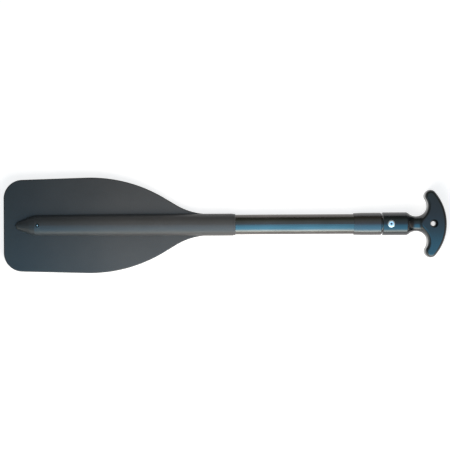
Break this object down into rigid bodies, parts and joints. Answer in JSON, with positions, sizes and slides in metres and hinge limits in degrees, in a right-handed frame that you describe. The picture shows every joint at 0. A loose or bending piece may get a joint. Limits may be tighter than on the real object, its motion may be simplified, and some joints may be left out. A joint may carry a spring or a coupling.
{
  "type": "telescoping boat paddle",
  "caption": "Short boat paddle, collapsed: a moulded blade with a ribbed socket, a tubular shaft that slides out and locks by twisting, and a riveted T-grip.",
  "frame": {"origin": "on the shaft's axis, half way between the blade's tip and the grip's crown, with the shaft pushed in", "axes": "+X along the shaft from the blade to the grip, +Y across the blade, +Z out of the blade's front face, where its rivet is"},
  "size_m": [0.562, 0.1214, 0.031],
  "materials": {
    "blade_plastic": "fine-grained moulded black plastic, satin",
    "gloss_black": "polished black moulding",
    "black_tube": "black anodised, drawn lengthwise",
    "rivet_aluminium": "bright",
    "rivet_steel": "plain",
    "stud_steel": "zinc plated",
    "inner_plastic": "grey moulding",
    "ring_rubber": "plain"
  },
  "bodies": {
    "blade_shaft": {"blade": "blade_plastic", "blade_rivet": "rivet_aluminium", "blade_rivet_mandrel": "rivet_steel", "outer_tube": "black_tube", "collar": "gloss_black"},
    "lock_sleeve": {"expander_sleeve": "inner_plastic", "expander_ring": "ring_rubber"},
    "grip_shaft": {"inner_tube": "black_tube", "tube_plug": "inner_plastic", "lock_stud": "stud_steel", "stud_nut": "stud_steel", "t_grip": "gloss_black", "grip_rivet_front": "rivet_aluminium", "grip_mandrel_front": "rivet_steel", "grip_rivet_back": "rivet_aluminium", "grip_mandrel_back": "rivet_steel"},
    "lock_cone": {"expander_cone": "inner_plastic"}
  },
  "joints": [
    {"name": "telescope", "type": "slide", "parent": "blade_shaft", "child": "lock_sleeve", "axis": [1, 0, 0], "range_m": [0, 0.371]},
    {"name": "grip_twist", "type": "hinge", "parent": "lock_sleeve", "child": "grip_shaft", "pos_m": [0, 0, 0], "axis": [1, 0, 0], "range_deg": [0, 360]},
    {"name": "cone_feed", "type": "slide", "parent": "lock_sleeve", "child": "lock_cone", "axis": [1, 0, 0], "range_m": [-0.00101, 0]}
  ],
  "couplings": [
    {"joint": "cone_feed", "follows": "grip_twist", "m_per_rad": -0.00015915}
  ]
}
